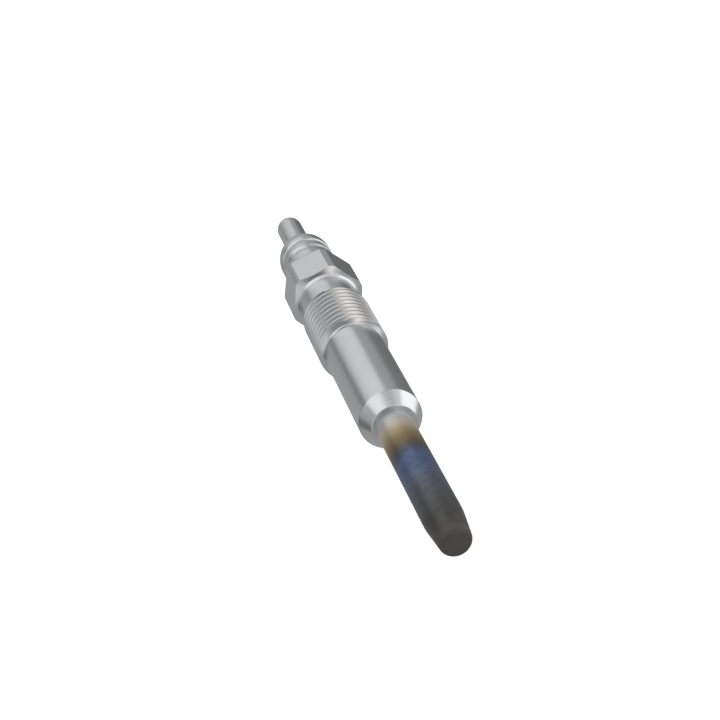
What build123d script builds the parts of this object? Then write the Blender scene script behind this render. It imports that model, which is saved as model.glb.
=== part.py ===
from build123d import *
from math import acos, cos, degrees, sin, sqrt
import os

# Diesel glow plug, in millimetres. The plug lies along Y: the heated tip points to -Y, the
# terminal pin to +Y, and one flat of the hexagon faces down. The origin is on the plug's axis,
# at the edge where the plain shank meets the sealing cone.

# Body: a single turned piece with an M10 thread. Each step is the change of radius to the next
# part of the body, which makes the shank 8.5 mm and the hexagon 10 mm across its flats.
thread_crest_d = 9.85
thread_length = 11.65
thread_depth = 0.675
shank_length = 20.25
cone_length = 2.4
nose_wall = 0.6
neck_depth = 0.625
neck_length = 5.9
neck_flare_length = 0.55
neck_flare_height = 0.4
neck_flare_bend = 0.8
hex_height = 0.7
hex_length = 7.6
corner_height = 0.517
hex_face_inset = 0.15
front_chamfer_slope = 0.95
rear_chamfer_slope = 0.3
collar_depth = 0.95
collar_length = 6.3
edge_break = 0.15

# Crimp groove rolled into the collar round the gasket
groove_width = 1.7
groove_depth = 0.18
groove_from_end = 1.5

# Bores of the body
rod_air_gap = 0.7
gasket_width = 1.6
gasket_bore_depth = 7.0
press_bore_relief = 0.5

# Glow tube: a thin sheath, closed and tapered at the tip, pressed into the shank
tube_d = 5.0
tube_wall = 0.6
tube_reach = 31.1
tube_in_body = 21.5
taper_depth = 0.52
tip_taper_length = 5.1
tip_rounding = 0.4
tip_thickness = 1.0

# Connecting rod from the control coil to the terminal pin, with powder round it in the tube
powder_wall = 0.6
spigot_depth = 0.55
rod_spigot_length = 5.5
rod_chamfer = 0.2

# Heating and control coils, wound from wire on one diameter and welded end to end
wire_d = 0.36
coil_gap = 0.02
heating_turns = 9
heating_pitch = 1.0
control_turns = 9.5
control_pitch = 1.3
weld_gap = 0.02
coil_on_spigot = 3.2

# Heater seal in the open end of the tube
tube_seal_length = 3.0

# Gasket of two rings at the bottom of the gasket bore
backing_ring_length = 1.2
gasket_length = 1.8
gasket_corner = 0.4

# Insulating washer with a sleeve that reaches down to the gasket
washer_inset = 0.05
washer_thickness = 1.25
washer_edge = 0.2
sleeve_clearance = 0.05

# Terminal: crowned flange and push-on pin in one piece, 4 mm across the pin
flange_overhang = 0.05
flange_land = 0.95
flange_crown_r = 7.0
crown_inset = 0.7
flange_edge = 0.25
pin_wall = 0.7
pin_length = 12.15
pin_fillet = 0.3
rod_in_terminal = 8.7
socket_relief = 0.3

# Diameters, from the thread for the body and from the tube for what lies inside
shank_d = thread_crest_d - 2 * thread_depth
neck_d = thread_crest_d - 2 * neck_depth
flare_d = neck_d + 2 * neck_flare_height
hex_flats = neck_d + 2 * hex_height
hex_corners_d = hex_flats + 2 * corner_height
hex_face_d = hex_flats - 2 * hex_face_inset
collar_d = hex_flats - 2 * collar_depth
nose_d = tube_d + 2 * nose_wall
tube_inner_d = tube_d - 2 * tube_wall
tip_d = tube_d - 2 * taper_depth
tip_inner_d = tip_d - 2 * tube_wall
rod_d = tube_inner_d - 2 * powder_wall
rod_spigot_d = rod_d - 2 * spigot_depth
rod_passage_d = rod_d + 2 * rod_air_gap
gasket_bore_d = rod_d + 2 * gasket_width
washer_d = collar_d - 2 * washer_inset
flange_d = washer_d + 2 * flange_overhang
flange_top_d = flange_d - 2 * crown_inset
pin_d = rod_d + 2 * pin_wall

# Stations along the axis, from the tip to the pin
nose_y = -cone_length
shank_end = shank_length
thread_end = shank_end + thread_length
hex_front = thread_end + neck_length
hex_rear = hex_front + hex_length
collar_end = hex_rear + collar_length
washer_end = collar_end + washer_thickness
crown_start = washer_end + flange_land
crown_angle = acos(1 - crown_inset / flange_crown_r)
crown_end = crown_start + flange_crown_r * sin(crown_angle)
flange_top = crown_end + flange_edge
pin_end = flange_top + pin_length
gasket_floor = collar_end - gasket_bore_depth
gasket_front = gasket_floor + backing_ring_length
gasket_rear = gasket_front + gasket_length
rod_end = washer_end + rod_in_terminal
tip_inside = -tube_reach + tip_thickness
taper_start = -tube_reach + tip_rounding + tip_taper_length
seal_front = tube_in_body - tube_seal_length

# Where the coils lie: the control coil grips the rod's spigot
coil_r = rod_spigot_d / 2 + coil_gap + wire_d / 2
heating_front = tip_inside + wire_d / 2
coil_joint = heating_front + heating_turns * heating_pitch
control_rear = coil_joint + control_turns * control_pitch
joint_angle = 360 * heating_turns + degrees(weld_gap / coil_r)
rod_front = control_rear - coil_on_spigot
rod_shoulder = rod_front + rod_spigot_length


def turned(*corners):
    """Solid of revolution about Y.

    Each corner is (diameter, place along Y), and a corner that isn't sharp adds
    fillet or chamfer and its size.
    """
    points = [(diameter / 2, y) for diameter, y, *_ in corners]
    section = make_face(Polyline(*points, close=True))
    for point, (_, _, *edge) in zip(points, corners):
        if edge:
            finish, amount = edge
            vertex = section.vertices().sort_by_distance(point)[0]
            section = finish(vertex, amount)
    return revolve(section, Axis.Y)


def bar(diameter, start, end):
    """Plain round bar along Y between two stations."""
    base = Plane(origin=(0, start, 0), z_dir=(0, 1, 0))
    return extrude(base * Circle(diameter / 2), end - start)


def hexagon_bar(start, end):
    """Hexagonal bar along Y with one flat facing down."""
    base = Plane(origin=(0, start, 0), x_dir=(1, 0, 0), z_dir=(0, 1, 0))
    outline = RegularPolygon(hex_flats / 2, 6, major_radius=False)
    return extrude(base * outline, end - start)


def plug_body():
    """Housing: sealing cone, shank, thread, neck, hexagon and collar, bored through."""
    front_chamfer = (corner_height + hex_face_inset) * front_chamfer_slope
    rear_chamfer = (corner_height + hex_face_inset) * rear_chamfer_slope
    body = turned(
        (tube_d, nose_y),
        (nose_d, nose_y, chamfer, edge_break),
        (shank_d, 0, chamfer, edge_break),
        (shank_d, shank_end),
        (thread_crest_d, shank_end + thread_depth),
        (thread_crest_d, thread_end),
        (neck_d, thread_end + neck_depth),
        (neck_d, hex_front - neck_flare_length, fillet, neck_flare_bend),
        (flare_d, hex_front),
        (hex_face_d, hex_front),
        (hex_corners_d, hex_front + front_chamfer),
        (hex_corners_d, hex_rear - rear_chamfer),
        (hex_face_d, hex_rear),
        (collar_d, hex_rear),
        (collar_d, collar_end, chamfer, edge_break),
        (gasket_bore_d, collar_end, chamfer, edge_break),
        (gasket_bore_d, gasket_floor),
        (rod_passage_d, gasket_floor),
        (rod_passage_d, tube_in_body + press_bore_relief),
        (tube_d, tube_in_body + press_bore_relief),
    )
    blank = bar(hex_corners_d * 2, hex_front, hex_rear)
    body -= blank - hexagon_bar(hex_front, hex_rear)
    # the crimp groove is the ring that a roller of this radius leaves
    roller_r = ((groove_width / 2) ** 2 + groove_depth ** 2) / (2 * groove_depth)
    centre = Plane(origin=(0, collar_end - groove_from_end, 0), z_dir=(0, 1, 0))
    ring = centre * Torus(collar_d / 2 + roller_r - groove_depth, roller_r)
    return body - ring


def glow_tube():
    """Sheath of heat-resisting steel, open inside the body and closed at the tip."""
    return turned(
        (0, -tube_reach),
        (tip_d, -tube_reach, fillet, tip_rounding),
        (tube_d, taper_start),
        (tube_d, tube_in_body, chamfer, edge_break),
        (tube_inner_d, tube_in_body),
        (tube_inner_d, taper_start),
        (tip_inner_d, tip_inside),
        (0, tip_inside),
    )


def coil(turns, pitch, start, angle):
    """Round wire wound on the coil radius from a station and an angle round the axis."""
    path = Helix(pitch, turns * pitch, coil_r, center=(0, start, 0), direction=(0, 1, 0))
    wire = Plane(origin=path @ 0, z_dir=path % 0) * Circle(wire_d / 2)
    return Rot(Y=angle) * sweep(wire, path=path, is_frenet=True)


def heating_coil():
    """Front coil, which starts on the inside of the tip."""
    return coil(heating_turns, heating_pitch, heating_front, 0)


def control_coil():
    """Rear coil, butt-welded to the heating coil and wound on to the rod's spigot."""
    return coil(control_turns, control_pitch, coil_joint, joint_angle)


def connecting_rod():
    """Rod that carries the current from the terminal to the control coil."""
    return turned(
        (0, rod_front),
        (rod_spigot_d, rod_front),
        (rod_spigot_d, rod_shoulder),
        (rod_d, rod_shoulder, chamfer, rod_chamfer),
        (rod_d, rod_end, chamfer, rod_chamfer),
        (0, rod_end),
    )


def insulating_powder():
    """Compacted magnesium oxide that fills the tube round the coils and the rod.

    The coils lie in one ring-shaped room. A bridge of powder between two turns,
    opposite the weld of the coils, holds the core inside them to the rest.
    """
    room = wire_d / 2 + coil_gap
    room_end = control_rear + room
    powder = turned(
        (0, tip_inside),
        (tip_inner_d, tip_inside),
        (tube_inner_d, taper_start),
        (tube_inner_d, seal_front),
        (0, seal_front),
    )
    powder -= bar(2 * (coil_r + room), tip_inside, room_end)
    powder += bar(2 * (coil_r - room), tip_inside, rod_front)
    powder -= bar(rod_spigot_d, rod_front, rod_shoulder)
    powder -= bar(rod_d, rod_shoulder, seal_front)
    bridge = Box(wire_d, min(heating_pitch, control_pitch) / 2, 4 * room)
    return powder + Rot(Y=joint_angle) * Pos(0, coil_joint, -coil_r) * bridge


def tube_seal():
    """Seal that closes the open end of the tube round the rod."""
    return turned(
        (rod_d, seal_front),
        (tube_inner_d, seal_front),
        (tube_inner_d, tube_in_body),
        (rod_d, tube_in_body),
    )


def gasket_backing_ring():
    """Hard ring on the floor of the gasket bore, under the soft one."""
    return turned(
        (rod_d + 2 * sleeve_clearance, gasket_floor),
        (gasket_bore_d, gasket_floor),
        (gasket_bore_d, gasket_front),
        (rod_d + 2 * sleeve_clearance, gasket_front),
    )


def gasket_ring():
    """Soft ring, squeezed flat against the rod and the wall of the gasket bore."""
    return turned(
        (rod_d, gasket_front, chamfer, gasket_corner),
        (gasket_bore_d, gasket_front, chamfer, gasket_corner),
        (gasket_bore_d, gasket_rear, chamfer, gasket_corner),
        (rod_d, gasket_rear, chamfer, gasket_corner),
    )


def insulating_washer():
    """Disc between collar and terminal, with the sleeve that centres the rod."""
    sleeve_d = gasket_bore_d - 2 * sleeve_clearance
    hole_d = rod_d + 2 * sleeve_clearance
    return turned(
        (hole_d, gasket_rear),
        (sleeve_d, gasket_rear, chamfer, edge_break),
        (sleeve_d, collar_end),
        (washer_d, collar_end, chamfer, washer_edge),
        (washer_d, washer_end, chamfer, washer_edge),
        (hole_d, washer_end),
    )


def terminal_pin():
    """Push-on terminal: crowned flange, round pin with a domed end, blind socket."""
    socket_end = rod_end + socket_relief
    land_r = flange_d / 2
    crown_mid = crown_angle / 2
    crown_centre_r = land_r - flange_crown_r
    crown_half_way = (
        crown_centre_r + flange_crown_r * cos(crown_mid),
        crown_start + flange_crown_r * sin(crown_mid),
    )
    pin_r = pin_d / 2
    dome_side = pin_r * sqrt(0.5)
    fillet_side = pin_fillet * (1 - sqrt(0.5))
    with BuildSketch() as section:
        with BuildLine():
            Polyline(
                (0, pin_end),
                (0, socket_end),
                (rod_d / 2, socket_end),
                (rod_d / 2, washer_end),
                (land_r - flange_edge, washer_end),
                (land_r, washer_end + flange_edge),
                (land_r, crown_start),
            )
            ThreePointArc((land_r, crown_start), crown_half_way, (flange_top_d / 2, crown_end))
            Polyline(
                (flange_top_d / 2, crown_end),
                (flange_top_d / 2 - flange_edge, flange_top),
                (pin_r + pin_fillet, flange_top),
            )
            ThreePointArc(
                (pin_r + pin_fillet, flange_top),
                (pin_r + fillet_side, flange_top + fillet_side),
                (pin_r, flange_top + pin_fillet),
            )
            Line((pin_r, flange_top + pin_fillet), (pin_r, pin_end - pin_r))
            ThreePointArc(
                (pin_r, pin_end - pin_r),
                (dome_side, pin_end - pin_r + dome_side),
                (0, pin_end),
            )
        make_face()
    return revolve(section.sketch, Axis.Y)


pieces = {
    "plug_body": plug_body(),
    "glow_tube": glow_tube(),
    "heating_coil": heating_coil(),
    "control_coil": control_coil(),
    "insulating_powder": insulating_powder(),
    "tube_seal": tube_seal(),
    "connecting_rod": connecting_rod(),
    "gasket_backing_ring": gasket_backing_ring(),
    "gasket_ring": gasket_ring(),
    "insulating_washer": insulating_washer(),
    "terminal_pin": terminal_pin(),
}

os.makedirs("parts", exist_ok=True)
for name, piece in pieces.items():
    export_step(piece, f"parts/{name}.step")
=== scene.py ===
import math
import bmesh
import bpy
from mathutils import Matrix, Vector


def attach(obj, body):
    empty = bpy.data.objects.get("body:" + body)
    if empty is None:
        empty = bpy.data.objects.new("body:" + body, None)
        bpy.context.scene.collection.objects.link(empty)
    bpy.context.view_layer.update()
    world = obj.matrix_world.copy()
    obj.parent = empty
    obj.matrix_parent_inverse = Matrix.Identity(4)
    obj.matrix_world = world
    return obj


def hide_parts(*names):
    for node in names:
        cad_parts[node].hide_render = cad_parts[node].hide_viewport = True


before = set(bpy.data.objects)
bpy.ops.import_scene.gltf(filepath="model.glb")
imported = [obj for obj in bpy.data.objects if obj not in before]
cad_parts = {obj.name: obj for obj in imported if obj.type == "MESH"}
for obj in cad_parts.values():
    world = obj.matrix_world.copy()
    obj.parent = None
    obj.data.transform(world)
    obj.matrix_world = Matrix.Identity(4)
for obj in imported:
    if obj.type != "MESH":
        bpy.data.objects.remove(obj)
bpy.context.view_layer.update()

mm = 0.001
around = 144  # points in a ring, the same everywhere so that neighbouring rings meet
weldDistance = 0.0008 * mm  # points closer than this become one
arcStep = 12  # degrees of a rounding that one row of faces spans, at most

# A diesel glow plug in metres, along Y: the tip to -Y, the terminal pin to +Y, one flat of the
# hexagon down. Sizes in the dictionaries are in millimetres.


# helpers for shapes

def ringPoints(radius, y):
    if not callable(radius):
        return [(radius, y)] * around
    return [radius(2 * math.pi * i / around) for i in range(around)]


# rings is a list of (radius, y); a ring that isn't round gives a function of the angle instead
def turnedMesh(name, rings, closed=False):
    mesh = bpy.data.meshes.new(name)
    bm = bmesh.new()
    rows = []
    for radius, y in rings:
        if radius == 0:
            rows.append([bm.verts.new((0, y * mm, 0))])
            continue
        row = []
        for i, (r, place) in enumerate(ringPoints(radius, y)):
            angle = 2 * math.pi * i / around
            row.append(bm.verts.new((r * mm * math.sin(angle), place * mm, r * mm * math.cos(angle))))
        rows.append(row)
    pairs = list(zip(rows, rows[1:]))
    if closed:
        pairs.append((rows[-1], rows[0]))
    for low, high in pairs:
        for i in range(around):
            j = (i + 1) % around
            corners = [low[i % len(low)], low[j % len(low)], high[j % len(high)], high[i % len(high)]]
            corners = list(dict.fromkeys(corners))
            if len(corners) > 2:
                bm.faces.new(corners)
    bm.to_mesh(mesh)
    bm.free()
    return mesh


def arc(centreR, centreY, radius, start, end, steps):
    points = []
    for i in range(steps + 1):
        angle = math.radians(start + (end - start) * i / steps)
        points.append((centreR + radius * math.cos(angle), centreY + radius * math.sin(angle), 0))
    return points


# turns corners (radius, y, rounding) into rings: each rounding becomes an arc, and rings near both
# ends of a long straight part keep its shading straight
def ringsOf(corners, shelf=0.08):
    rings = [corners[0][:2]]
    for i in range(1, len(corners)):
        here = Vector(corners[i][:2])
        turned = [here]
        if i + 1 < len(corners) and corners[i][2] > 0:
            backward = (Vector(corners[i - 1][:2]) - here).normalized()
            forward = (Vector(corners[i + 1][:2]) - here).normalized()
            bend = math.pi - backward.angle(forward)
            start = here + backward * corners[i][2] * math.tan(bend / 2)
            centre = here + (backward + forward).normalized() * corners[i][2] / math.cos(bend / 2)
            side = math.copysign(1, forward.x * backward.y - forward.y * backward.x)
            steps = math.ceil(math.degrees(bend) / arcStep)
            turned = [centre + Matrix.Rotation(side * bend * k / steps, 2) @ (start - centre)
                      for k in range(steps + 1)]
        before = Vector(rings[-1])
        step = turned[0] - before
        if step.length > 4 * shelf:
            rings.append(tuple(before + step.normalized() * shelf))
            rings.append(tuple(turned[0] - step.normalized() * shelf))
        rings += [tuple(point) for point in turned]
    return rings


# merges the meshes into one shell, turns faces outwards and keeps edges sharper than the limit crisp
def finishShell(name, meshes, sharpAngle=18):
    bm = bmesh.new()
    for mesh in meshes:
        bm.from_mesh(mesh)
    bmesh.ops.remove_doubles(bm, verts=bm.verts, dist=weldDistance)
    bmesh.ops.dissolve_degenerate(bm, edges=bm.edges, dist=weldDistance / 2)
    bmesh.ops.recalc_face_normals(bm, faces=bm.faces)
    for face in bm.faces:
        face.smooth = True
    for edge in bm.edges:
        bend = edge.calc_face_angle(0)
        edge.smooth = bend < math.radians(sharpAngle)
    mesh = bpy.data.meshes.new(name)
    bm.to_mesh(mesh)
    openEdges = sum(1 for edge in bm.edges if not edge.is_manifold)
    bm.free()
    print(name, len(mesh.polygons), "faces,", openEdges, "open edges")
    return mesh


def addPiece(name, mesh, material, nodes):
    piece = bpy.data.objects.new(name, mesh)
    bpy.context.scene.collection.objects.link(piece)
    mesh.materials.clear()
    mesh.materials.append(material)
    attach(piece, "root")
    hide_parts(*nodes)
    return piece


# one socket of a node tree; operators on it add Math nodes
class Flow:
    def __init__(self, tree, socket=None):
        self.tree = tree
        self.socket = socket

    def node(self, kind, settings, inputs, output=0):
        made = self.tree.nodes.new(kind)
        for key, value in settings.items():
            if key == "stops":
                ramp = made.color_ramp
                while len(ramp.elements) > 1:
                    ramp.elements.remove(ramp.elements[-1])
                ramp.elements[0].position = value[0][0]
                ramp.elements[0].color = (*value[0][1], 1)
                for place, colour in value[1:]:
                    ramp.elements.new(place).color = (*colour, 1)
            else:
                setattr(made, key, value)
        for key, value in inputs.items():
            if isinstance(value, Flow):
                self.tree.links.new(value.socket, made.inputs[key])
            else:
                made.inputs[key].default_value = value
        return Flow(self.tree, made.outputs[output] if len(made.outputs) else None)

    def maths(self, operation, *values):
        return self.node("ShaderNodeMath", {"operation": operation}, dict(enumerate(values)))

    def __add__(self, other):
        return self.maths("ADD", self, other)

    def __radd__(self, other):
        return self.maths("ADD", other, self)

    def __sub__(self, other):
        return self.maths("SUBTRACT", self, other)

    def __rsub__(self, other):
        return self.maths("SUBTRACT", other, self)

    def __mul__(self, other):
        return self.maths("MULTIPLY", self, other)

    def __rmul__(self, other):
        return self.maths("MULTIPLY", other, self)

    def __truediv__(self, other):
        return self.maths("DIVIDE", self, other)

    def __rtruediv__(self, other):
        return self.maths("DIVIDE", other, self)

    def blend(self, colourA, colourB):
        return self.node("ShaderNodeMix", {"data_type": "RGBA"}, {0: self, 6: colourA, 7: colourB}, 2)

    def between(self, low, high):
        return self.node("ShaderNodeMapRange", {"interpolation_type": "SMOOTHSTEP"},
                         {0: self, 1: low, 2: high, 3: 0.0, 4: 1.0})


# the camera of the photo
viewpoint = {
    "place": (-2.771, -197.726, 117.668),  # mm
    "right": (0.89252, -0.22524, -0.39074),
    "up": (0.45086, 0.42321, 0.78589),
    "lens": 89.806,  # mm
    "sensor": 36,
}

cameraData = bpy.data.cameras.new("camera")
cameraData.lens = viewpoint["lens"]
cameraData.sensor_width = viewpoint["sensor"]
cameraData.clip_start = 0.005
cameraData.clip_end = 20
camera = bpy.data.objects.new("camera", cameraData)
cameraRight = Vector(viewpoint["right"]).normalized()
cameraBack = cameraRight.cross(Vector(viewpoint["up"])).normalized()
cameraUp = cameraBack.cross(cameraRight)
turn = Matrix((cameraRight, cameraUp, cameraBack)).transposed()
camera.matrix_world = Matrix.Translation(Vector(viewpoint["place"]) * mm) @ turn.to_4x4()
bpy.context.scene.collection.objects.link(camera)
bpy.context.scene.camera = camera
print("camera ready")


def newMaterial(name):
    material = bpy.data.materials.new(name)
    material.use_nodes = True
    tree = material.node_tree
    tree.nodes.clear()
    return material, Flow(tree)


def closeMaterial(flow, inputs):
    surface = flow.node("ShaderNodeBsdfPrincipled", {}, inputs)
    flow.node("ShaderNodeOutputMaterial", {}, {"Surface": surface})


# place on the piece in millimetres
def placeOf(flow):
    place = flow.node("ShaderNodeTexCoord", {}, {}, 3)
    return flow.node("ShaderNodeVectorMath", {"operation": "SCALE"}, {0: place, "Scale": 1000.0})


# bright plating of the body and the terminal
plating = {
    "colour": (0.70, 0.71, 0.72, 1),
    "roughness": 0.26,
    "mottle": 0.05,  # change of roughness over the surface
    "turningDepth": 0.004,  # mm
    "drawnMarks": 3.0,  # lengthways marks on the flats, against the fine turning marks
    "shankMarks": 5.0,  # broader turning marks on the cone and shank, against the fine ones
    "shankTo": 20.25,  # mm along Y
    "drawnFrom": 37.9,
    "drawnTo": 45.4,
}


def platedSteel():
    material, flow = newMaterial("plated_steel")
    place = placeOf(flow)
    cloud = flow.node("ShaderNodeTexNoise", {}, {"Vector": place, "Scale": 0.9, "Detail": 3.0})
    stretched = flow.node("ShaderNodeMapping", {}, {"Vector": place, "Scale": (0.15, 14.0, 0.15)})
    rings = flow.node("ShaderNodeTexNoise", {}, {"Vector": stretched, "Scale": 1.0, "Detail": 2.0})
    drawn = flow.node("ShaderNodeMapping", {}, {"Vector": place, "Scale": (3.0, 0.12, 3.0)})
    streaks = flow.node("ShaderNodeTexNoise", {}, {"Vector": drawn, "Scale": 1.0, "Detail": 3.0})
    y = flow.node("ShaderNodeSeparateXYZ", {}, {0: place}, 1)
    beyond = flow.maths("GREATER_THAN", y, plating["drawnFrom"])
    onHexagon = beyond * flow.maths("LESS_THAN", y, plating["drawnTo"])
    broad = flow.node("ShaderNodeMapping", {}, {"Vector": place, "Scale": (0.12, 2.2, 0.12)})
    waves = flow.node("ShaderNodeTexNoise", {}, {"Vector": broad, "Scale": 1.0, "Detail": 3.0})
    onShank = flow.maths("LESS_THAN", y, plating["shankTo"])
    marks = rings * (1 - onHexagon) + streaks * onHexagon * plating["drawnMarks"]
    marks = marks + waves * onShank * plating["shankMarks"]
    roughness = plating["roughness"] + (cloud - 0.5) * plating["mottle"]
    bump = flow.node("ShaderNodeBump", {}, {
        "Height": marks, "Distance": plating["turningDepth"] * mm, "Strength": 1.0})
    closeMaterial(flow, {
        "Base Color": plating["colour"], "Metallic": 1.0, "Roughness": roughness, "Normal": bump})
    return material


# the glow tube, with temper colours from the heat, and painted light on the stops at both ends: places
# along Y in mm
temper = {
    "metallic": 0.65,
    "roughness": 0.4,
    "scaleFrom": -28.5,  # towards the tip the oxide is thicker, duller and rougher
    "scaleTo": -30.8,
    "scaleMetallic": 0.35,
    "scaleRoughness": 0.2,
    "spotColour": (0.065, 0.05, 0.042, 1),
    "spotFrom": -9.0,
    "spotTo": -14.0,
    "spotting": 0.4,
    "wander": 0.8,  # mm, how far the bands of colour stray
    "grain": 0.15,  # change of roughness over the surface
    "ringDepth": 0.01,  # mm
    "from": -2.4,
    "to": -31.1,
    # place, then red, green and blue as seen on a screen
    "stops": [
        # the first two stops are the bright bare steel near the body, lightened further as painted light
        # against the shade from the body's nose
        (-2.4, (208, 213, 215)),
        (-4.0, (208, 209, 206)),
        (-5.2, (214, 206, 192)),
        (-6.2, (202, 188, 163)),
        (-7.4, (180, 159, 126)),
        (-8.6, (152, 134, 100)),
        (-9.6, (135, 117, 86)),
        (-10.6, (111, 104, 88)),
        (-11.4, (95, 97, 97)),
        (-12.2, (90, 99, 121)),
        (-13.4, (96, 112, 153)),
        (-15.5, (88, 108, 146)),
        (-17.5, (97, 116, 144)),
        (-19.5, (99, 109, 126)),
        (-22.0, (94, 99, 109)),
        (-24.5, (91, 92, 94)),
        (-27.0, (84, 84, 84)),
        (-29.4, (86, 85, 84)),
        # the last two stops lighten the rounded tip and its end face: painted light for faces that get
        # little light
        (-30.5, (92, 90, 88)),
        (-31.1, (98, 95, 92)),
    ],
}


# screen level from 0 to 255 to linear light
def linear(level):
    level = level / 255
    return level / 12.92 if level <= 0.04045 else ((level + 0.055) / 1.055) ** 2.4


def temperedSteel():
    material, flow = newMaterial("tempered_steel")
    place = placeOf(flow)
    y = flow.node("ShaderNodeSeparateXYZ", {}, {0: place}, 1)
    wander = flow.node("ShaderNodeTexNoise", {}, {"Vector": place, "Scale": 0.6, "Detail": 3.0})
    span = temper["to"] - temper["from"]
    along = (y + (wander - 0.5) * temper["wander"] - temper["from"]) / span
    stops = [((at - temper["from"]) / span, tuple(linear(v) for v in rgb)) for at, rgb in temper["stops"]]
    # the ramp gives the temper colours, with painted light at the stops next to the body and at the tip
    colour = flow.node("ShaderNodeValToRGB", {"stops": stops}, {0: along})
    spots = flow.node("ShaderNodeTexNoise", {}, {"Vector": place, "Scale": 1.1, "Detail": 4.0})
    heated = y.between(temper["spotFrom"], temper["spotTo"])
    spotted = spots.between(0.45, 0.75) * heated * temper["spotting"]
    colour = spotted.blend(colour, temper["spotColour"])
    grain = flow.node("ShaderNodeTexNoise", {}, {"Vector": place, "Scale": 3.5, "Detail": 4.0})
    scaled = y.between(temper["scaleFrom"], temper["scaleTo"])
    roughness = temper["roughness"] + scaled * temper["scaleRoughness"]
    roughness = roughness + (grain - 0.5) * temper["grain"]
    metallic = temper["metallic"] - scaled * temper["scaleMetallic"]
    stretched = flow.node("ShaderNodeMapping", {}, {"Vector": place, "Scale": (0.1, 6.0, 0.1)})
    rings = flow.node("ShaderNodeTexNoise", {}, {"Vector": stretched, "Scale": 1.0, "Detail": 3.0})
    bump = flow.node("ShaderNodeBump", {}, {
        "Height": rings, "Distance": temper["ringDepth"] * mm, "Strength": 1.0})
    closeMaterial(flow, {
        "Base Color": colour, "Metallic": metallic, "Roughness": roughness, "Normal": bump})
    return material


def plainMaterial(name, colour, metallic, roughness):
    material, flow = newMaterial(name)
    closeMaterial(flow, {"Base Color": (*colour, 1), "Metallic": metallic, "Roughness": roughness})
    return material


steel = platedSteel()
tubeSteel = temperedSteel()
washerMaterial = plainMaterial("washer_grey", (0.62, 0.62, 0.63), 0.7, 0.32)
print("materials ready")


# the thread: one helical sheet from Geometry Nodes, cut off at both ends; these are its inputs
thread = {
    "Start": 20.25,
    "End": 32.525,
    "Start Radius": 4.25,
    "End Radius": 4.3,
    "Crest Radius": 4.925,
    "Root Radius": 4.233,
    "Pitch": 1.25,
    "Lead In Slope": 0.58,  # the thread starts with a shallow slope and ends with a steeper one
    "Lead In Drop": 0.11,
    "Turns": 11,  # whole turns that the sheet has before it is cut
    "Rows Per Turn": 16,  # a quarter is crest and an eighth is root, with flanks at 30 degrees
    "Around": around,
}


def threadTree(material):
    tree = bpy.data.node_groups.new("screw_thread", "GeometryNodeTree")
    for name, value in thread.items():
        kind = "NodeSocketInt" if name in ("Turns", "Rows Per Turn", "Around") else "NodeSocketFloat"
        socket = tree.interface.new_socket(name, in_out="INPUT", socket_type=kind)
        socket.default_value = value
    tree.interface.new_socket("Geometry", in_out="OUTPUT", socket_type="NodeSocketGeometry")
    flow = Flow(tree)
    given = tree.nodes.new("NodeGroupInput")
    size = {name: Flow(tree, given.outputs[name]) for name in thread}
    rows = size["Turns"] * size["Rows Per Turn"] + 1
    sheet = flow.node("GeometryNodeMeshGrid", {}, {
        "Size X": 1.0, "Size Y": 1.0, "Vertices X": size["Around"] + 1, "Vertices Y": rows})
    where = flow.node("GeometryNodeInputPosition", {}, {})
    u = flow.node("ShaderNodeSeparateXYZ", {}, {0: where}, 0) + 0.5
    turns = (flow.node("ShaderNodeSeparateXYZ", {}, {0: where}, 1) + 0.5) * size["Turns"]
    free = size["Start"] + (turns + u - 1) * size["Pitch"]
    y = flow.maths("MINIMUM", flow.maths("MAXIMUM", free, size["Start"]), size["End"])
    # height of the profile: 16 steps in a turn, the crest in the middle
    fromCrest = flow.maths("ABSOLUTE", flow.maths("FRACT", turns + 0.0001) - 0.5) * 16
    height = flow.maths("MINIMUM", flow.maths("MAXIMUM", (7 - fromCrest) / 5, 0.0), 1.0)
    full = size["Root Radius"] + height * (size["Crest Radius"] - size["Root Radius"])
    fromStart = y - size["Start"]
    fromEnd = size["End"] - y
    leadIn = flow.maths("MAXIMUM", fromStart * size["Lead In Slope"], fromStart - size["Lead In Drop"])
    lowered = flow.maths("MINIMUM", full, size["Start Radius"] + leadIn)
    lowered = flow.maths("MINIMUM", lowered, size["End Radius"] + fromEnd)
    kept = flow.maths("MAXIMUM", lowered, size["Start Radius"] - fromStart)
    radius = flow.maths("MAXIMUM", kept, size["End Radius"] - fromEnd)
    angle = u * (2 * math.pi)
    spot = flow.node("ShaderNodeCombineXYZ", {}, {
        0: radius * flow.maths("SINE", angle) * mm,
        1: y * mm,
        2: radius * flow.maths("COSINE", angle) * mm})
    bent = flow.node("GeometryNodeSetPosition", {}, {"Geometry": sheet, "Position": spot})
    welded = flow.node("GeometryNodeMergeByDistance", {}, {"Geometry": bent, "Distance": weldDistance})
    real = flow.node("GeometryNodeRealizeInstances", {}, {"Geometry": welded})
    painted = flow.node("GeometryNodeSetMaterial", {}, {"Geometry": real, "Material": material})
    flow.node("NodeGroupOutput", {}, {"Geometry": painted})
    return tree


def threadMesh():
    carrier = bpy.data.objects.new("thread_carrier", bpy.data.meshes.new("thread_carrier"))
    bpy.context.scene.collection.objects.link(carrier)
    modifier = carrier.modifiers.new("screw_thread", "NODES")
    modifier.node_group = threadTree(steel)
    for item in modifier.node_group.interface.items_tree:
        if item.in_out == "INPUT":
            modifier[item.identifier] = thread[item.name]
    evaluated = bpy.context.evaluated_depsgraph_get()
    mesh = bpy.data.meshes.new_from_object(carrier.evaluated_get(evaluated))
    carrier.modifiers.remove(modifier)
    bpy.data.objects.remove(carrier)
    return mesh


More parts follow.
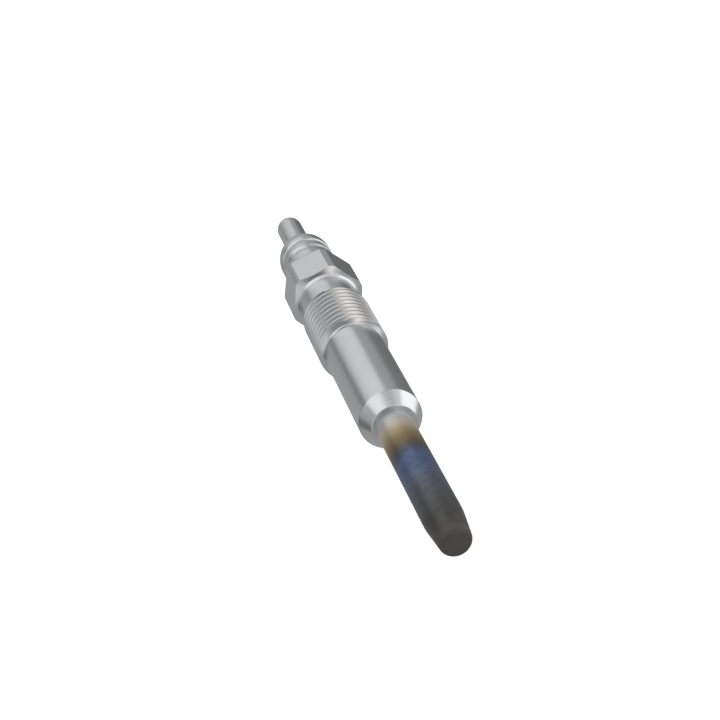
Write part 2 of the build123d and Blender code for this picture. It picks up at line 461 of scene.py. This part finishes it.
# the body: nose, cone, shank, thread, neck, hexagon and collar in one shell
body = {
    "tubeRadius": 2.5,
    "noseY": -2.4,
    "noseRadius": 3.1,
    "shankRadius": 4.25,
    "neckRadius": 4.3,
    "flareLength": 0.45,  # the neck widens to the hexagon in a short flare
    "flareHeight": 0.28,
    "flareBend": 0.5,
    "faceLength": 0.18,  # then a shallow cone out to the hexagon's face
    "hexFront": 37.8,
    "hexRear": 45.4,
    "halfFlats": 5.0,
    "cornerRadius": 5.5145,
    "faceRadius": 4.85,
    "frontSlope": 0.95,  # chamfer of the hexagon, length against height
    "rearSlope": 0.3,
    "collarRadius": 4.05,
    "collarEnd": 51.7,
    "grooveAt": 50.2,
    "grooveWidth": 1.7,
    "grooveDepth": 0.18,
    "rearBreak": 0.04,  # the flats fall away a little before the rear chamfer
    "rearBreakLength": 0.2,
    "shelf": 0.05,
    "edge": 0.15,
    "coneRounding": 0.3,
    "boreRadius": 2.9,
    "boreFloor": 44.7,
    "passageRadius": 2.0,
    "tubeBoreEnd": 22.0,
}


# distance from the axis to the hexagon's side, with its turned-off corners
def hexRadius(angle):
    fromFlat = (angle + math.pi / 6) % (math.pi / 3) - math.pi / 6
    return min(body["halfFlats"] / math.cos(fromFlat), body["cornerRadius"])


def frontCurve(angle):
    radius = hexRadius(angle)
    return radius, body["hexFront"] + (radius - body["faceRadius"]) * body["frontSlope"]


def rearCurve(angle):
    radius = hexRadius(angle) - body["rearBreak"]
    return radius, body["hexRear"] - (radius - body["faceRadius"]) * body["rearSlope"]


# the flats keep straight shading between the two shelves
def frontShelf(angle):
    radius, y = frontCurve(angle)
    return radius, y + body["shelf"]


def rearShelf(angle):
    radius, y = rearCurve(angle)
    return radius + body["rearBreak"], y - body["rearBreakLength"] - body["shelf"]


def rearBend(angle):
    radius, y = rearShelf(angle)
    return radius, y + body["shelf"]


def bodyMesh():
    b = body
    edge = b["edge"]
    front = [
        (b["tubeRadius"], b["noseY"], 0),
        (b["noseRadius"], b["noseY"], edge),
        (b["shankRadius"], 0, b["coneRounding"]),
        (b["shankRadius"], thread["Start"], 0),
    ]
    neck = [
        (b["neckRadius"], thread["End"], 0),
        (b["neckRadius"], b["hexFront"] - b["faceLength"] - b["flareLength"], b["flareBend"]),
        (b["neckRadius"] + b["flareHeight"], b["hexFront"] - b["faceLength"], 0),
        (b["faceRadius"], b["hexFront"], 0),
    ]
    half = b["grooveWidth"] / 2
    roller = (half ** 2 + b["grooveDepth"] ** 2) / (2 * b["grooveDepth"])
    sweep = math.degrees(math.asin(half / roller))
    centre = b["collarRadius"] + roller - b["grooveDepth"]
    collar = [
        (b["faceRadius"], b["hexRear"], 0),
        (b["collarRadius"], b["hexRear"], 0),
        *arc(centre, b["grooveAt"], roller, 180 + sweep, 180 - sweep, 10),
        (b["collarRadius"], b["collarEnd"], edge),
        (b["boreRadius"], b["collarEnd"], edge),
        (b["boreRadius"], b["boreFloor"], 0),
        (b["passageRadius"], b["boreFloor"], 0),
        (b["passageRadius"], b["tubeBoreEnd"], 0),
        (b["tubeRadius"], b["tubeBoreEnd"], 0),
        (b["tubeRadius"], b["noseY"], 0),
    ]
    hexagon = [(curve, 0) for curve in (frontCurve, frontShelf, rearShelf, rearBend, rearCurve)]
    rear = ringsOf(neck) + hexagon + ringsOf(collar)
    parts = [turnedMesh("front", ringsOf(front)), threadMesh(), turnedMesh("rear", rear)]
    return finishShell("plug_body", parts)


addPiece("body", bodyMesh(), steel, ["plug_body"])


# the glow tube, closed and tapered at the tip
tube = {
    "radius": 2.5,
    "tipRadius": 1.98,
    "reach": 31.0998,
    "taperStart": -25.6,
    "rounding": 0.75,
    "taperRounding": 6.0,
    "wall": 0.6,
    "end": 21.5,
}


def tubeMesh():
    t = tube
    return finishShell("glow_tube", [turnedMesh("tube", ringsOf([
        (0, -t["reach"], 0),
        (t["tipRadius"], -t["reach"], t["rounding"]),
        (t["radius"], t["taperStart"], t["taperRounding"]),
        (t["radius"], t["end"], 0),
        (t["radius"] - t["wall"], t["end"], 0),
        (t["radius"] - t["wall"], t["taperStart"], 0),
        (t["tipRadius"] - t["wall"], -t["reach"] + 1, 0),
        (0, -t["reach"] + 1, 0),
    ]))])


addPiece("tube", tubeMesh(), tubeSteel, ["glow_tube"])


# the insulating washer, with the sleeve that reaches into the collar
washer = {
    "radius": 3.94,
    "hole": 1.35,
    "sleeve": 2.85,
    "front": 51.7,
    "rear": 52.95,
    "sleeveFront": 47.7,
    "edge": 0.15,
}


def washerMesh():
    w = washer
    return finishShell("washer", [turnedMesh("washer", ringsOf([
        (w["hole"], w["sleeveFront"], 0),
        (w["sleeve"], w["sleeveFront"], 0),
        (w["sleeve"], w["front"], 0),
        (w["radius"], w["front"], w["edge"]),
        (w["radius"], w["rear"], w["edge"]),
        (w["hole"], w["rear"], 0),
    ]), closed=True)])


addPiece("washer", washerMesh(), washerMaterial, ["insulating_washer"])


# the terminal: crowned flange and push-on pin, with a socket for the rod
terminal = {
    "front": 52.95,
    "flangeRadius": 4.05,
    "crownStart": 54.3,
    "crownRadius": 5.37,
    "topRadius": 3.35,
    "frontEdge": 0.7,
    "edge": 0.25,
    "pinRadius": 2.0,
    "pinFillet": 0.3,
    "pinLength": 12.15,
    "socketRadius": 1.3,
    "socketEnd": 61.95,
}


def terminalMesh():
    t = terminal
    crownTurn = math.degrees(math.acos(1 - (t["flangeRadius"] - t["topRadius"]) / t["crownRadius"]))
    crown = arc(t["flangeRadius"] - t["crownRadius"], t["crownStart"], t["crownRadius"], 0, crownTurn, 10)
    crownEnd = crown[-1][1]
    top = crownEnd + t["edge"]
    pinEnd = top + t["pinLength"]
    return finishShell("terminal", [turnedMesh("terminal", ringsOf([
        (0, t["socketEnd"], 0),
        (t["socketRadius"], t["socketEnd"], 0),
        (t["socketRadius"], t["front"], 0),
        (t["flangeRadius"], t["front"], t["frontEdge"]),
        *crown,
        *arc(t["topRadius"] - t["edge"], crownEnd, t["edge"], crownTurn, 90, 6),
        (t["pinRadius"], top, t["pinFillet"]),
        *arc(0, pinEnd - t["pinRadius"], t["pinRadius"], 0, 88, 12),
        (0, pinEnd, 0),
    ]))])


addPiece("terminal", terminalMesh(), steel, ["terminal_pin"])


# the inner pieces keep their solids and get a finish
innerFinishes = {
    "connecting_rod": ((0.60, 0.60, 0.60), 1.0, 0.3),
    "heating_coil": ((0.45, 0.44, 0.42), 1.0, 0.35),
    "control_coil": ((0.55, 0.55, 0.55), 1.0, 0.35),
    "insulating_powder": ((0.90, 0.90, 0.87), 0.0, 0.9),
    "tube_seal": ((0.03, 0.03, 0.03), 0.0, 0.6),
    "gasket_ring": ((0.03, 0.03, 0.03), 0.0, 0.6),
    "gasket_backing_ring": ((0.80, 0.80, 0.78), 0.0, 0.5),
}

for name, (colour, metallic, roughness) in innerFinishes.items():
    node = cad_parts[name]
    node.data.materials.clear()
    node.data.materials.append(plainMaterial(name, colour, metallic, roughness))
print("pieces ready")


# the studio: soft bright and dark cards all round in the world, a pale floor and a white wall
studio = {
    "surround": 0.39,
    # degrees from +Y to +X, degrees up, half width, half height, soft edge, brightness, colour
    "cards": [
        (23.8, -10.1, 10.4, 16.1, 10, 0.13, (1, 1, 1)),
        (-31.7, 19.1, 4.7, 8.4, 6, 0.03, (1, 1, 1)),
        (-72.5, -3.2, 14.7, 10.4, 8, 0.145, (1, 1, 1)),
        (68.5, 32.8, 23.3, 17.5, 12, 0.713, (1, 1, 1)),
        (-5.6, 45.6, 19.8, 22.8, 6, 0.87, (1, 1, 1)),
        (70.2, 2.7, 13.4, 25.8, 10, 1.428, (1, 1, 1)),
        (-72.6, 70.2, 20.1, 21.3, 10, 1.086, (1, 1, 1)),
        (100, 57.5, 9.9, 34.3, 6, 0.961, (1, 1, 1)),
        (183.1, 51.2, 20.8, 14, 12, 0.127, (1, 1, 1)),
        (147.5, 14.6, 9.9, 15.3, 8, 1.28, (1.0, 0.945, 0.905)),
        (123.4, 39.8, 16.5, 7.2, 6, 1.205, (1.0, 0.93, 0.88)),
        (-116.9, 23.1, 32.4, 18.3, 8, 0.718, (1, 1, 1)),
        (128.7, -13.3, 13.7, 11.1, 8, 1.056, (1, 1, 1)),
        (127.5, -3.9, 4.1, 7.5, 6, 0.245, (1, 1, 1)),
    ],
    "floorZ": -5.0,
    "floorRadius": 4,  # metres, as are the next two
    "wallRadius": 3.9,
    "wallHeight": 6,
    "floorShade": (0.9, 0.9, 0.9, 1),
    "floorGlow": 0.75,
}


def direction(azimuth, elevation):
    a, e = math.radians(azimuth), math.radians(elevation)
    return Vector((math.sin(a) * math.cos(e), math.cos(a) * math.cos(e), math.sin(e)))


world = bpy.data.worlds.new("studio")
bpy.context.scene.world = world
world.use_nodes = True
world.node_tree.nodes.clear()
flow = Flow(world.node_tree)
look = flow.node("ShaderNodeTexCoord", {}, {}, 0)


def part(vector):
    return flow.node("ShaderNodeVectorMath", {"operation": "DOT_PRODUCT"}, {0: look, 1: tuple(vector)}, 1)


light = (studio["surround"], studio["surround"], studio["surround"], 1)
for azimuth, elevation, halfWidth, halfHeight, soft, brightness, tint in studio["cards"]:
    towards = direction(azimuth, elevation)
    upwards = direction(azimuth, elevation + 90)
    sideways = towards.cross(upwards)
    mask = part(towards).between(0.0, 0.05)
    for axis, half in ((sideways, halfWidth), (upwards, halfHeight)):
        outer = math.sin(math.radians(half + soft / 2))
        inner = math.sin(math.radians(max(half - soft / 2, 0)))
        mask = mask * flow.maths("ABSOLUTE", part(axis)).between(outer, inner)
    light = mask.blend(light, tuple(brightness * c for c in tint) + (1,))
sky = flow.node("ShaderNodeBackground", {}, {"Color": light, "Strength": 1.0})
flow.node("ShaderNodeOutputWorld", {}, {"Surface": sky})


def stageObject(name, bm, material):
    mesh = bpy.data.meshes.new(name)
    bm.to_mesh(mesh)
    bm.free()
    mesh.materials.append(material)
    made = bpy.data.objects.new(name, mesh)
    bpy.context.scene.collection.objects.link(made)
    made.visible_glossy = False
    made.visible_diffuse = False
    return made


floorMaterial, flow = newMaterial("pale_floor")
closeMaterial(flow, {"Base Color": studio["floorShade"], "Roughness": 0.9,
                     "Emission Color": (1, 1, 1, 1), "Emission Strength": studio["floorGlow"]})
bm = bmesh.new()
bmesh.ops.create_circle(bm, cap_ends=True, segments=96, radius=studio["floorRadius"])
bmesh.ops.translate(bm, verts=bm.verts, vec=(0, 0, studio["floorZ"] * mm))
stageObject("floor", bm, floorMaterial)

# a white wall round the floor, only for low views: it takes no light and throws no shadow
wallMaterial, flow = newMaterial("white_wall")
closeMaterial(flow, {"Base Color": (0, 0, 0, 1), "Roughness": 1.0, "Specular IOR Level": 0.0,
                     "Emission Color": (1, 1, 1, 1), "Emission Strength": 1.0})
bm = bmesh.new()
bmesh.ops.create_cone(bm, cap_ends=False, segments=96, radius1=studio["wallRadius"],
                      radius2=studio["wallRadius"], depth=studio["wallHeight"])
wall = stageObject("wall", bm, wallMaterial)
wall.visible_shadow = False
print("studio ready")

bpy.context.scene.view_settings.view_transform = "Standard"
